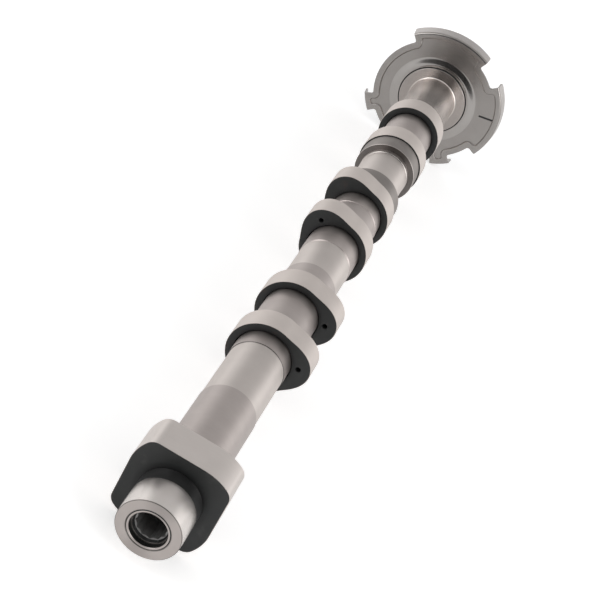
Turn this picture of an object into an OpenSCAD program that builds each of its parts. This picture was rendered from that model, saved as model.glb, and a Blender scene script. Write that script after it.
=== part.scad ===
// Built-up engine camshaft: a steel tube with pressed-on lobes, a four-sided pump cam,
// thrust collars, a front end piece with a drive plug, and a rear hub with a sensor wheel.
// The shaft lies along Y, its front towards -Y, with the hub's rear face at Y 0.
// Angles run from +X towards +Z, seen from the front.

/* [Shaft tube] */
// Diameter of the unground tube
tube_d = 26.6; // [26.3:0.1:27.0]
// Bore of the tube
tube_bore_d = 18.6; // [18.6:0.1:20]
// Width of the narrow raised band between the lobes of cylinder 2
band_w = 2; // [1:0.5:4]
// Height of that band over the tube
band_h = 0.25; // [0.1:0.05:0.6]
// Distance of the band's middle behind the middle of cylinder 2
band_offset = 4.6; // [0:0.1:8]

/* [Cylinders] */
// Distance from the front face to the middle of cylinder 1
front_to_cylinder = 157.5; // [150:0.5:170]
// Distance from one cylinder to the next
cylinder_pitch = 106; // [95:0.5:125]
// Distance between the two lobes of a cylinder, middle to middle
lobe_spacing = 39.6; // [36:0.1:46]
// Angle between the noses of one cylinder and the next
firing_angle = 120; // [90:5:135]

/* [Lobes] */
// Width of a lobe
lobe_w = 12.6; // [9:0.1:16]
// Diameter of the base circle
base_d = 34.4; // [32:0.1:38]
// Lift of the nose over the base circle
lift = 5.35; // [3:0.05:8]
// Angle from the nose to where the lift starts
lift_half_angle = 58.5; // [45:0.5:75]
// Edge chamfer of the ground running surface
lobe_chamfer = 0.4; // [0.2:0.1:0.8]
// Diameter of the small index hole in a lobe's front face
index_hole_d = 2.6; // [2:0.1:3.2]
// Depth of the index hole
index_hole_depth = 4; // [2:0.5:8]
// Distance of the index hole from the shaft's axis
index_hole_reach = 16.8; // [16:0.1:17.6]

/* [Pump cam] */
// Width across two opposite flats
pump_cam_af = 41.3; // [38:0.1:44]
// Length along the shaft
pump_cam_w = 16.7; // [12:0.1:24]
// Radius of the tight side of each corner
pump_tight_r = 5.5; // [4:0.5:7]
// Radius of the long ramp behind each corner
pump_ramp_r = 21.8; // [20:0.2:24]
// Distance along a flat from its middle to the start of the ramp
pump_ramp_start = 6.8; // [5:0.1:8]
// Turn of the flats against the nose of cylinder 1
pump_turn = 75; // [60:1:90]

/* [Front end] */
// Diameter of the ground spigot
spigot_d = 27.3; // [27.1:0.1:27.9]
// Length of the ground spigot
spigot_len = 15; // [10:0.5:25]
// Height of the black neck over the tube
neck_step = 0.2; // [0.1:0.05:0.3]
// Length of the neck
neck_len = 6.8; // [4:0.1:12]
// Edge chamfer at the front of the spigot
spigot_chamfer = 0.5; // [0.2:0.1:1]
// Bore that takes the drive plug
plug_bore_d = 18.2; // [17.6:0.1:18.4]
// Chamfer at the mouth of that bore
plug_mouth_chamfer = 0.4; // [0.2:0.1:0.6]
// Wall of the hollow shank that is pressed into the tube
shank_wall = 2.6; // [2:0.1:3.5]
// Length of the shank in the tube
shank_len = 24; // [15:1:40]

/* [Drive plug] */
// Length of the plug
plug_len = 20; // [17:0.5:24]
// Diameter of the open mouth of the plug
plug_mouth_d = 16; // [15.6:0.1:16.4]
// Depth of the plug's mouth
plug_mouth_depth = 1.5; // [1:0.1:2.5]
// Diameter of the step under the mouth
plug_step_d = 15.2; // [14.6:0.1:15.4]
// Width over the points of the socket
socket_point_d = 13.4; // [12.8:0.1:13.8]
// Width of the flat lip round the socket
socket_lip = 0.15; // [0.1:0.05:0.3]
// Depth of the socket's edge under the plug's face
socket_edge_depth = 3.7; // [3:0.1:5]
// Depth of the socket below its edge
socket_depth = 11; // [8:0.5:12]
// Number of points round the socket
socket_points = 12; // [6, 12]

/* [Bearings] */
// Diameter of the ground bearing journals on the tube
journal_d = 26; // [25.6:0.1:26.2]
// Width of the front journal
front_journal_w = 37; // [24:0.5:44]
// Distance from the front journal's middle to cylinder 1
front_journal_gap = 53.7; // [51:0.1:56]
// Width of the middle journal
middle_journal_w = 24.6; // [20:0.1:30]
// Diameter of the rear journal, on the hub
rear_journal_d = 27.4; // [27:0.1:28]
// Length of the rear journal
rear_journal_len = 40.7; // [30:0.1:50]

/* [Thrust collars] */
// Wall of the collars over the tube
collar_wall = 3.05; // [2:0.05:4]
// Length of the front collar
front_collar_len = 11.4; // [8:0.1:14]
// Length of the rear collar
rear_collar_len = 10.9; // [8:0.1:14]
// Edge chamfer of the collars
collar_chamfer = 0.5; // [0.2:0.1:1]
// Length of unground tube in front of the rear collar
collar_relief = 2; // [1:0.1:4]

/* [Rear hub] */
// Diameter of the hub's flange
flange_d = 39.4; // [36:0.2:44]
// Edge chamfer at the front of the rear journal
hub_edge = 0.2; // [0.1:0.05:0.5]
// Radius of the fillet between journal and flange
flange_fillet = 0.9; // [0.4:0.1:1.2]
// Distance that the flange stands out in front of the wheel
flange_proud = 1.2; // [0.6:0.1:2]
// Radial gap between the flange and the wheel's front edge
wheel_gap = 0.6; // [0.4:0.1:1]
// Depth of the groove that this gap leaves in front of the wheel's seat
groove_depth = 0.6; // [0.3:0.1:0.9]
// Length of the seat that carries the sensor wheel
wheel_seat_len = 7.6; // [7:0.1:10]
// Diameter of the centring bore in the rear face
centring_d = 18; // [17:0.5:19]
// Depth of the centring bore
centring_depth = 8; // [5:0.5:12]
// Core diameter of the thread behind it
thread_core_d = 12.5; // [11:0.5:13]
// Length of the thread
thread_len = 30; // [20:1:32]
// Diameter of the oil passage through the hub's shank
oil_d = 6; // [4:0.5:8]
// Diameter of the locating pin
pin_d = 4; // [3:0.5:4.5]
// Shoulder of the pin's thicker end, which is pressed into the hub
pin_shoulder = 0.5; // [0.3:0.1:0.8]
// Depth of that end in the hub
pin_depth = 7; // [5:0.5:9]
// Length of the pin that stands out of the rear face
pin_proud = 3; // [2:0.5:4]

/* [Sensor wheel] */
// Diameter over the raised sectors
wheel_d = 82; // [78:0.5:90]
// Diameter in the gaps between the sectors
wheel_gap_d = 70.8; // [66:0.2:72]
// Thickness of the sheet
sheet = 1.4; // [1.2:0.1:2]
// Depth of the rim folded back from the sectors
rim_depth = 7.2; // [6:0.1:9]
// Wall of the folded rim, thinned by the drawing
rim_wall = 1.1; // [0.9:0.1:1.6]
// Amount by which the rim opens out towards its rear edge
rim_flare = 0.6; // [0:0.1:1]
// Outer radius of the fold
fold_r = 1.6; // [1.2:0.1:2]
// Width of the plain band round the pressed panel
panel_inset = 3.2; // [2.6:0.1:4]
// Depth of the pressed panel under the band
panel_depth = 0.7; // [0.4:0.1:1]
// Fillet where a sector meets the gap
notch_fillet = 1.6; // [1:0.1:2]
// Radius of the sectors' outer corners
sector_corner = 0.8; // [0.4:0.1:1.2]
// Width of the flat land round the bore
land_w = 1.5; // [1:0.1:2]
// Width of the slope from that land down to the panel
slope_w = 3.9; // [3:0.1:4.5]
// Height of the land over the panel
land_height = 1.1; // [0.6:0.1:1.3]
// Width of the engraved timing line
mark_w = 1; // [0.6:0.1:1.2]
// Length of the timing line
mark_len = 8.4; // [6:0.2:9]
// Distance of the line's inner end from the axis
mark_start = 28.8; // [28.6:0.1:29.4]
// Angle of the timing line against the nose of cylinder 1
mark_turn = -3.4; // [-10:0.1:10]

/* [Rest] */
// Turn of the whole shaft so that it lies as it comes to rest
rest_turn = 20.9; // [0:0.1:90]

/* [Hidden] */

// Which lobes have an index hole, front and rear lobe of each cylinder
INDEX_HOLES = [[true, true], [true, false], [true, true]];
// Start and end angle of each raised sector of the wheel, against the nose of cylinder 1
SECTORS = [[-79.8, -63.5], [-39.5, 27.6], [50, 117.5], [191.2, 206.8]];
steel = "#b5aeaa";
raw_steel = "#8f8b87";
black_face = "#3a3b3b";
curve_fn = 96;
arc_steps = 6;
profile_steps = 180;
cut_over = 1;

base_r = base_d / 2;
tube_r = tube_d / 2;
collar_r = tube_r + collar_wall;
neck_r = tube_r + neck_step;
lobe_half = lobe_w / 2;

// Stations along the shaft, worked forwards from the hub's rear face
wheel_front = -wheel_seat_len;
flange_front = wheel_front - flange_proud;
tube_end = flange_front - flange_fillet - rear_journal_len;
last_cylinder = tube_end - lobe_half - lobe_spacing / 2;
cylinder_y = [for (i = [0:2]) last_cylinder - (2 - i) * cylinder_pitch];
nose_turn = [for (i = [0:2]) rest_turn + i * firing_angle];
front_face = cylinder_y[0] - front_to_cylinder;
pump_front = front_face + spigot_len + neck_len;
front_lobe_rear = cylinder_y[1] + lobe_spacing / 2 + lobe_half;
rear_lobe_front = cylinder_y[2] - lobe_spacing / 2 - lobe_half;
front_collar_end = front_lobe_rear + front_collar_len;
rear_collar_start = rear_lobe_front - rear_collar_len;
front_journal_y = cylinder_y[0] - front_journal_gap;
middle_journal_y = (cylinder_y[0] + cylinder_y[1]) / 2;
band_y = cylinder_y[1] + band_offset;
shank_d = tube_bore_d;
shank_bore_d = shank_d - 2 * shank_wall;
wheel_bore_d = flange_d + 2 * wheel_gap;
panel_front = wheel_front + panel_depth;
land_front = panel_front - land_height;
groove_bottom = land_front + groove_depth;
pin_reach = (centring_d + flange_d) / 4;
pin_turn = rest_turn + 90;
pin_seat_r = pin_d / 2 + pin_shoulder;

// Flat profile standing across the shaft, from one Y to another
module across(y_from, y_to) {
    translate([0, y_to, 0]) rotate([90, 0, 0]) linear_extrude(y_to - y_from) children();
}

// Profile of [radius, Y] points turned round the shaft's axis
module turned(profile) {
    rotate([-90, 0, 0]) rotate_extrude($fn = curve_fn) polygon(profile);
}

// Straight round bore or bar round the shaft's axis
module bar(d, y_from, y_to) {
    translate([0, y_from, 0]) rotate([-90, 0, 0]) cylinder(d = d, h = y_to - y_from, $fn = curve_fn);
}

function polar(r, t) = [r * cos(t), r * sin(t)];
function arc(centre, r, from, to, steps) =
    [for (i = [0:steps]) centre + polar(r, from + (to - from) * i / steps)];

// Radius of a lobe at an angle from its nose: base circle plus a smooth lift
function lobe_radius(t) =
    base_r + (abs(t) < lift_half_angle ? lift * pow(cos(90 * t / lift_half_angle), 2) : 0);
function lobe_outline(inset) =
    [for (i = [0:profile_steps - 1]) let (t = 360 * i / profile_steps - 180) polar(lobe_radius(t) - inset, t)];

// Corner of the pump cam: a tight arc that leaves one flat, then a long ramp down to the next
function pump_corner(flat, tight_r, ramp_r) =
    let (tight = [flat - tight_r, flat - ramp_r
            + sqrt(pow(ramp_r - tight_r, 2) - pow(flat - tight_r - pump_ramp_start, 2))],
        ramp = [pump_ramp_start, flat - ramp_r],
        meet = atan2(tight[1] - ramp[1], tight[0] - ramp[0]))
    concat(arc(tight, tight_r, 0, meet, arc_steps),
        [for (i = [1:2 * arc_steps]) ramp + polar(ramp_r, meet + (90 - meet) * i / (2 * arc_steps))]);
function turned_point(p, t) = [p[0] * cos(t) - p[1] * sin(t), p[0] * sin(t) + p[1] * cos(t)];
function pump_outline(inset) =
    [for (side = [0:3]) each [for (p = pump_corner(pump_cam_af / 2 - inset, pump_tight_r - inset,
        pump_ramp_r - inset)) turned_point(p, 90 * side)]];

// One sector of the wheel: fillet out of the gap, rounded corner, outer arc, and back
function sector_outline(from, to, gap_r, outer_r, fillet, corner) =
    let (foot = asin(fillet / (gap_r + fillet)), shoulder = asin(corner / (outer_r - corner)))
    concat(
        arc(polar(gap_r + fillet, from - foot), fillet, from - foot + 180, from + 90, arc_steps),
        arc(polar(outer_r - corner, from + shoulder), corner, from - 90, from + shoulder, arc_steps),
        [for (i = [1:11]) polar(outer_r, from + shoulder + (to - from - 2 * shoulder) * i / 12)],
        arc(polar(outer_r - corner, to - shoulder), corner, to - shoulder, to + 90, arc_steps),
        arc(polar(gap_r + fillet, to + foot), fillet, to - 90, to + foot - 180, arc_steps));
function gap_outline(from, to, gap_r, foot) =
    [for (i = [1:15]) polar(gap_r, from + foot + (to - from - 2 * foot) * i / 16)];

// Wheel outline with the given radius over the sectors, drawn in elsewhere by the given amount
function wheel_outline(outer_r, inset) =
    let (gap_r = wheel_gap_d / 2 - inset, count = len(SECTORS), fillet = notch_fillet,
        corner = sector_corner, foot = asin(fillet / (gap_r + fillet)), narrow = asin(inset / outer_r))
    [for (i = [0:count - 1])
        let (here = SECTORS[i], next = SECTORS[(i + 1) % count] + (i == count - 1 ? [360, 360] : [0, 0]))
        each concat(sector_outline(here[0] + narrow, here[1] - narrow, gap_r, outer_r, fillet, corner),
            gap_outline(here[1] - narrow, next[0] + narrow, gap_r, foot))];

module shaft_tube() {
    chamfer = (tube_d - journal_d) / 2;
    color(raw_steel) difference() {
        union() {
            bar(tube_d, pump_front, tube_end);
            turned([[0, band_y - band_w / 2 - band_h], [tube_r, band_y - band_w / 2 - band_h],
                [tube_r + band_h, band_y - band_w / 2], [tube_r + band_h, band_y + band_w / 2],
                [tube_r, band_y + band_w / 2 + band_h], [0, band_y + band_w / 2 + band_h]]);
        }
        ground(front_journal_y - front_journal_w / 2, front_journal_y + front_journal_w / 2, chamfer);
        ground(middle_journal_y - middle_journal_w / 2, middle_journal_y + middle_journal_w / 2, chamfer);
        ground(front_collar_end, rear_collar_start - collar_relief, chamfer);
        bar(tube_bore_d, pump_front - cut_over, tube_end + cut_over);
    }
}

// Ring of stock that grinding takes off the tube to leave a journal
module ground(y_from, y_to, chamfer) {
    turned([[journal_d / 2, y_from + chamfer], [tube_r + cut_over, y_from - cut_over],
        [tube_r + cut_over, y_to + cut_over], [journal_d / 2, y_to - chamfer]]);
}

module front_end_piece() {
    mouth_r = plug_bore_d / 2 + plug_mouth_chamfer;
    shoulder = spigot_len + neck_len;
    color(steel) translate([0, front_face, 0]) turned([
        [mouth_r, 0], [spigot_d / 2 - spigot_chamfer, 0], [spigot_d / 2, spigot_chamfer],
        [spigot_d / 2, spigot_len], [neck_r, spigot_len + spigot_chamfer], [neck_r, shoulder],
        [shank_d / 2, shoulder], [shank_d / 2, shoulder + shank_len],
        [shank_bore_d / 2, shoulder + shank_len], [shank_bore_d / 2, plug_len],
        [plug_bore_d / 2, plug_len], [plug_bore_d / 2, plug_mouth_chamfer]]);
}

module drive_plug() {
    root_d = socket_point_d * 0.86;
    color(black_face) translate([0, front_face, 0]) difference() {
        turned([[0, plug_len], [0, socket_edge_depth],
            [socket_point_d / 2 + socket_lip, socket_edge_depth], [plug_step_d / 2, plug_mouth_depth],
            [plug_mouth_d / 2, plug_mouth_depth], [plug_mouth_d / 2, 0], [plug_bore_d / 2, 0],
            [plug_bore_d / 2, plug_len]]);
        across(socket_edge_depth - cut_over, socket_edge_depth + socket_depth)
            polygon([for (i = [0:2 * socket_points - 1])
                polar((i % 2 == 0 ? socket_point_d : root_d) / 2, 180 * i / socket_points + rest_turn)]);
    }
}

module pump_cam() {
    rear = pump_front + pump_cam_w;
    color(steel) difference() {
        rotate([0, -rest_turn - pump_turn, 0]) union() {
            across(pump_front, rear) polygon(pump_outline(lobe_chamfer));
            across(pump_front + lobe_chamfer, rear - lobe_chamfer) polygon(pump_outline(0));
        }
        bar(tube_d, pump_front - cut_over, rear + cut_over);
    }
}

// One valve lobe round the tube, its nose at the given angle
module lobe(y, nose, holed) {
    color(steel) difference() {
        rotate([0, -nose, 0]) difference() {
            union() {
                across(y - lobe_half, y + lobe_half) polygon(lobe_outline(lobe_chamfer));
                across(y - lobe_half + lobe_chamfer, y + lobe_half - lobe_chamfer)
                    polygon(lobe_outline(0));
            }
            if (holed) translate([index_hole_reach, y - lobe_half - cut_over, 0]) rotate([-90, 0, 0])
                cylinder(d = index_hole_d, h = index_hole_depth + cut_over, $fn = 32);
        }
        bar(tube_d, y - lobe_w, y + lobe_w);
    }
}

module front_lobe(i) lobe(cylinder_y[i] - lobe_spacing / 2, nose_turn[i], INDEX_HOLES[i][0]);
module rear_lobe(i) lobe(cylinder_y[i] + lobe_spacing / 2, nose_turn[i], INDEX_HOLES[i][1]);

// Thrust collar on the tube, chamfered on both edges
module collar(y_from, y_to) {
    edge_r = collar_r - collar_chamfer;
    color(raw_steel) difference() {
        turned([[0, y_from], [edge_r, y_from], [collar_r, y_from + collar_chamfer],
            [collar_r, y_to - collar_chamfer], [edge_r, y_to], [0, y_to]]);
        bar(tube_d, y_from - cut_over, y_to + cut_over);
    }
}

module front_thrust_collar() collar(front_lobe_rear, front_collar_end);
module rear_thrust_collar() collar(rear_collar_start, rear_lobe_front);

module rear_hub() {
    seat_r = wheel_bore_d / 2;
    journal_r = rear_journal_d / 2;
    edge = 0.5;
    color(steel) difference() {
        turned(concat(
            [[0, tube_end - shank_len], [shank_d / 2, tube_end - shank_len], [shank_d / 2, tube_end],
                [journal_r - hub_edge, tube_end], [journal_r, tube_end + hub_edge]],
            [for (p = arc([journal_r + flange_fillet, flange_front - flange_fillet], flange_fillet,
                180, 90, arc_steps)) p],
            [[flange_d / 2 - edge, flange_front], [flange_d / 2, flange_front + edge],
                [flange_d / 2, groove_bottom], [seat_r, groove_bottom],
                [seat_r, -edge], [seat_r - edge, 0], [0, 0]]));
        bar(centring_d, -centring_depth, cut_over);
        bar(thread_core_d, -centring_depth - thread_len, 0);
        bar(oil_d, tube_end - shank_len - cut_over, -centring_depth);
        at_pin() cylinder(r = pin_seat_r, h = pin_depth + cut_over, $fn = 48);
    }
}

// Place of the locating pin, from the bottom of its hole out through the rear face
module at_pin() {
    rotate([0, -pin_turn, 0]) translate([pin_reach, -pin_depth, 0]) rotate([-90, 0, 0]) children();
}

module locating_pin() {
    tip = 0.5;
    color("#9b9793") at_pin() rotate_extrude($fn = 48)
        polygon([[0, 0], [pin_seat_r, 0], [pin_seat_r, pin_depth], [pin_d / 2, pin_depth],
            [pin_d / 2, pin_depth + pin_proud - tip], [pin_d / 2 - tip, pin_depth + pin_proud],
            [0, pin_depth + pin_proud]]);
}

module sensor_wheel() {
    bore_r = wheel_bore_d / 2;
    outer_r = wheel_d / 2;
    land_r = bore_r + land_w;
    slope_r = land_r + slope_w;
    band_r = slope_r + 1;
    panel_rear = panel_front + sheet;
    rim_rear = wheel_front + rim_depth;
    rim_r = outer_r + rim_flare;
    panel = spun(wheel_outline(outer_r - panel_inset, panel_inset));
    color(raw_steel) difference() {
        union() {
            difference() {
                intersection() {
                    turned(concat([[band_r, wheel_front]],
                        arc([outer_r - fold_r, wheel_front + fold_r], fold_r, -90, 0, arc_steps),
                        [[rim_r, rim_rear], [rim_r - rim_wall, rim_rear],
                            [outer_r - rim_wall, wheel_front + sheet], [band_r, wheel_front + sheet]]));
                    across(wheel_front - cut_over, rim_rear + cut_over)
                        polygon(spun(wheel_outline(rim_r + sector_corner / 4, 0)));
                }
                across(wheel_front - cut_over, panel_front) polygon(panel);
            }
            difference() {
                across(panel_front, panel_rear) polygon(panel);
                bar(2 * slope_r, panel_front - cut_over, panel_rear + cut_over);
            }
            turned([[bore_r, land_front], [land_r, land_front], [slope_r, panel_front],
                [band_r, panel_front], [band_r, panel_rear], [slope_r, panel_rear],
                [land_r, land_front + sheet], [bore_r, land_front + sheet]]);
        }
        rotate([0, -rest_turn - mark_turn, 0])
            translate([mark_start, panel_front - cut_over, -mark_w / 2])
            cube([mark_len, cut_over + 0.15, mark_w]);
    }
}

function spun(points) = [for (p = points) turned_point(p, rest_turn)];

shaft_tube();
front_end_piece();
drive_plug();
pump_cam();
front_lobe(0);  // lobe_1_front
rear_lobe(0);  // lobe_1_rear
front_lobe(1);  // lobe_2_front
rear_lobe(1);  // lobe_2_rear
front_lobe(2);  // lobe_3_front
rear_lobe(2);  // lobe_3_rear
front_thrust_collar();
rear_thrust_collar();
rear_hub();
sensor_wheel();
locating_pin();
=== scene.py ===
"""Built-up engine camshaft. The shaft lies along Y with its front towards -Y, and Z is up."""
import math

import bmesh
import bpy
from mathutils import Matrix, Vector


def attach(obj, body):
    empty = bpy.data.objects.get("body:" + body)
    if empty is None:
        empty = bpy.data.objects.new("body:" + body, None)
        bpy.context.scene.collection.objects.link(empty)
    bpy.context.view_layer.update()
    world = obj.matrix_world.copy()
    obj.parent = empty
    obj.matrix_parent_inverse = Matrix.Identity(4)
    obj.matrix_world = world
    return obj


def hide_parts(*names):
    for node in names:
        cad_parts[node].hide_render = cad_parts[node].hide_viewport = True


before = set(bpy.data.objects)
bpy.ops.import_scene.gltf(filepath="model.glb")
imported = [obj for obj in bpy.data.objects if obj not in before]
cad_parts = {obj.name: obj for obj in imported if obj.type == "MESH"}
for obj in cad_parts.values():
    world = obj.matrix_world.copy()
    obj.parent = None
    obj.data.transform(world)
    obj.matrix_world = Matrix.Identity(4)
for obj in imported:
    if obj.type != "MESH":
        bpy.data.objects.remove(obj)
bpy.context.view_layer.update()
MM = 0.001

# --- Shaft tube ---------------------------------------------------------------------------
# A drawn steel tube carries everything else. Its three bearing journals are ground, the rest
# keeps the duller drawn skin, and a narrow band stands between the lobes of cylinder 2.


def linear(hex_colour):
    """sRGB hex to the linear RGBA that a shader takes."""
    values = [int(hex_colour[i:i + 2], 16) / 255 for i in (1, 3, 5)]
    return [v / 12.92 if v <= 0.04045 else ((v + 0.055) / 1.055) ** 2.4 for v in values] + [1.0]


def add_node(material, kind, settings=None, links=None):
    """Adds a shader node with its attributes, ramp stops or input values, and its incoming links.
    A link comes from an output, or from a node, which then gives its first output."""
    tree = material.node_tree
    made = tree.nodes.new("ShaderNode" + kind)
    for key, value in (settings or {}).items():
        if key == "stops":
            for _ in value[2:]:  # a new ramp already has two stops
                made.color_ramp.elements.new(0.5)
            for element, (position, colour) in zip(made.color_ramp.elements, value):
                element.position, element.color = position, colour
        elif isinstance(key, str) and hasattr(made, key):
            setattr(made, key, value)
        else:
            made.inputs[key].default_value = value
    for key, source in (links or {}).items():
        output = source if isinstance(source, bpy.types.NodeSocket) else source.outputs[0]
        tree.links.new(output, made.inputs[key])
    return made


def new_material(name):
    material = bpy.data.materials.new(name)
    material.use_nodes = True
    material.node_tree.nodes.clear()
    return material


def close_material(material, base_colour, roughness, bump_height, bump_mm, metallic=1.0, lay=None,
                   stretch=0.9):
    """Shader with its colour and roughness links, a bump in mm and a blur stretched along lay."""
    bump = add_node(material, "Bump", {"Strength": 1.0, "Distance": bump_mm * MM}, {"Height": bump_height})
    links = {"Base Color": base_colour, "Roughness": roughness, "Normal": bump}
    if lay:
        links["Tangent"] = lay
    shader = add_node(material, "BsdfPrincipled",
                      {"Metallic": metallic, "Anisotropic": stretch if lay else 0.0}, links)
    add_node(material, "OutputMaterial", None, {"Surface": shader})


# Tool marks: noise cells per metre along a mark, their share beside the patches, and the range
# that both noises span.
MARK_CELLS, MARK_SHARE, NOISE_LOW, NOISE_HIGH = 60, 0.35, 0.45, 0.9
# The lobes' places in mm. Painted shade darkens the skin beside them to SHADED_SHARE of its
# brightness, up to SHADED_REACH from a lobe's middle; in front of PLAIN_FRONT it is even.
CYLINDERS, LOBE_OFFSET, LOBE_HALF = [-288.5, -182.5, -76.5], 19.8, 6.3
SHADED_SHARE, SHADED_REACH, PLAIN_FRONT = 0.47, 13, -340


def across_shaft(material, place):
    """The part of a place that lies across the shaft's axis, and its length, which is the radius."""
    flat = add_node(material, "VectorMath", {"operation": "MULTIPLY", 1: (1, 0, 1)}, {0: place})
    return flat, add_node(material, "VectorMath", {"operation": "LENGTH"}, {0: flat}).outputs["Value"]


def steel(name, tones, roughness, line_mm, line_depth, patch_mm, marks="round", stretch=0.9,
          metallic=1.0, painted_shade=False):
    """Steel with marks round the shaft, on its faces, or rolled grain; painted shade can darken it beside
    lobes.
    """
    material = new_material(name)
    place = add_node(material, "TexCoord").outputs["Object"]
    lay = None
    if marks == "round":
        spread = add_node(material, "Mapping",
                          {"Scale": (MARK_CELLS, 1 / (line_mm * MM), MARK_CELLS)}, {"Vector": place})
        lay = add_node(material, "CombineXYZ", {"Y": 1.0})
    elif marks == "face":
        flat, reach = across_shaft(material, place)
        joined = add_node(material, "CombineXYZ", None, {"X": reach})
        spread = add_node(material, "Mapping", {"Scale": (1 / (line_mm * MM), 1, 1)}, {"Vector": joined})
        lay = add_node(material, "VectorMath", {"operation": "NORMALIZE"}, {0: flat})
    else:
        spread = add_node(material, "Mapping", {"Scale": [1 / (line_mm * MM)] * 3}, {"Vector": place})
    lines = add_node(material, "TexNoise", {"Scale": 1.0, "Detail": 3.0, "Roughness": 0.6},
                     {"Vector": spread})
    patches = add_node(material, "TexNoise",
                       {"Scale": 1 / (patch_mm * MM), "Detail": 4.0, "Roughness": 0.55}, {"Vector": place})
    mixed = add_node(material, "Math", {"operation": "MULTIPLY_ADD", 1: MARK_SHARE}, {0: lines, 2: patches})
    base_colour = add_node(material, "ValToRGB",
                           {"stops": [(NOISE_LOW, linear(tones[0])), (NOISE_HIGH, linear(tones[1]))]},
                           {"Fac": mixed})
    if painted_shade:
        # Painted shade: the colour is darkened beside each lobe.
        half_pitch = (CYLINDERS[1] - CYLINDERS[0]) / 2
        along = add_node(material, "SeparateXYZ", None, {"Vector": place})
        shifted = add_node(material, "Math", {"operation": "ADD", 1: -CYLINDERS[0] * MM},
                           {0: along.outputs["Y"]})
        from_cylinder = add_node(material, "Math", {"operation": "PINGPONG", 1: half_pitch * MM},
                                 {0: shifted})
        from_lobe = add_node(material, "Math", {"operation": "SUBTRACT", 1: LOBE_OFFSET * MM},
                             {0: from_cylinder})
        away = add_node(material, "Math", {"operation": "ABSOLUTE"}, {0: from_lobe})
        beside = add_node(material, "MapRange",
                          {"From Min": LOBE_HALF * MM, "From Max": SHADED_REACH * MM, "To Min": SHADED_SHARE},
                          {"Value": away})
        plain = add_node(material, "Math", {"operation": "LESS_THAN", 1: PLAIN_FRONT * MM},
                         {0: along.outputs["Y"]})
        share = add_node(material, "Math", {"operation": "MAXIMUM"}, {0: beside, 1: plain})
        base_colour = add_node(material, "VectorMath", {"operation": "SCALE"},
                               {0: base_colour, "Scale": share})
    rough = add_node(material, "MapRange",
                     {"From Min": NOISE_LOW, "From Max": NOISE_HIGH, "To Min": roughness[0],
                      "To Max": roughness[1]}, {"Value": mixed})
    close_material(material, base_colour, rough, lines, line_depth, metallic, lay, stretch)
    return material


# Drawn tube skin: dull grey steel, faint marks of the drawing die, a soft broad shine, and painted
# shade beside the lobes.
drawn_steel = steel("drawn_steel", ("#bab1ad", "#c1b8b4"), (0.32, 0.35), 0.9, 0.001, 6, painted_shade=True)
# Ground journal: paler, with fine grinding lines that blur the shine across them.
ground_journal_steel = steel("ground_journal_steel", ("#d0c8c3", "#d7cfca"), (0.38, 0.41), 0.35, 0.0007, 10)
# Turned edge beside a ground surface: smooth, and paled as a painted highlight, so it shows a thin light
# line.
bright_edge_steel = steel("bright_edge_steel", ("#cbc4bf", "#d2cbc6"), (0.3, 0.34), 0.4, 0.0006, 6)
# Relief groove or step that the grinding wheel misses, left from turning; its dark grey is painted shade.
relief_shade_steel = steel("painted_shade_relief_steel", ("#6a6664", "#76726f"), (0.4, 0.44), 0.4, 0.0006, 6)

SIDES, SMOOTH_DEGREES, MERGE_M = 180, 32, 0.00001


def leave_edit():
    if bpy.context.object and bpy.context.object.mode == "EDIT":
        bpy.ops.object.mode_set(mode="OBJECT")


def start_clean():
    """Back to object mode with nothing selected."""
    leave_edit()
    bpy.ops.object.select_all(action="DESELECT")


def edit_all():
    bpy.ops.object.mode_set(mode="EDIT")
    bpy.ops.mesh.select_all(action="SELECT")


def finish_edit():
    bpy.ops.mesh.select_all(action="SELECT")
    bpy.ops.mesh.normals_make_consistent(inside=False)
    leave_edit()


def pick(test, kind="VERT"):
    """Selects vertices or faces of the mesh being edited by a test on their middle and normal."""
    mesh = bpy.context.object.data
    shape = bmesh.from_edit_mesh(mesh)
    for group in (shape.verts, shape.edges, shape.faces):
        for item in group:
            item.select = False
    bpy.ops.mesh.select_mode(type=kind)
    for item in shape.verts if kind == "VERT" else shape.faces:
        middle = item.co if kind == "VERT" else item.calc_center_median()
        item.select = bool(test(middle / MM, item.normal))
    shape.select_flush_mode()
    bmesh.update_edit_mesh(mesh)


def extrude_along(profile):
    """Extrudes the selected ring from the first [radius, Y] station in mm through all the others."""
    for (r, y), (next_r, next_y) in zip(profile, profile[1:]):
        bpy.ops.mesh.extrude_region_move(TRANSFORM_OT_translate={"value": (0, (next_y - y) * MM, 0)})
        bpy.ops.transform.resize(value=(next_r / r, 1, next_r / r), center_override=(0, next_y * MM, 0))


def turned(name, profile, sides=SIDES):
    """Ring turned on the shaft's axis from [radius, Y] stations in mm, closed back to its start."""
    start_clean()
    start_r, start_y = profile[0]
    bpy.ops.mesh.primitive_circle_add(vertices=sides, radius=start_r * MM, location=(0, start_y * MM, 0),
                                      rotation=(math.pi / 2, 0, 0))
    piece = bpy.context.object
    piece.name = piece.data.name = name
    bpy.ops.object.transform_apply()
    edit_all()
    extrude_along(profile + profile[:1])
    bpy.ops.mesh.select_all(action="SELECT")
    bpy.ops.mesh.remove_doubles(threshold=MERGE_M)
    finish_edit()
    return piece


def smooth(piece):
    """Smooth shading up to SMOOTH_DEGREES, with normals that favour the large faces."""
    start_clean()
    piece.select_set(True)
    bpy.context.view_layer.objects.active = piece
    bpy.ops.object.shade_smooth_by_angle(angle=math.radians(SMOOTH_DEGREES))
    even = piece.modifiers.new("even_normals", "WEIGHTED_NORMAL")
    even.keep_sharp, even.weight = True, 90
    bpy.ops.object.modifier_apply(modifier=even.name)


def dress(piece, node, materials, choose=None):
    """Gives a piece its materials, face by face through choose, smooth shading and its body, and hides its
    CAD node.
    """
    piece.data.materials.clear()
    for material in materials:
        piece.data.materials.append(material)
    for face in piece.data.polygons:
        face.material_index = choose(face.center / MM, face.normal) if choose else 0
    smooth(piece)
    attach(piece, "root")
    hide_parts(node)


def radius(point):
    return math.hypot(point.x, point.z)


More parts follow.
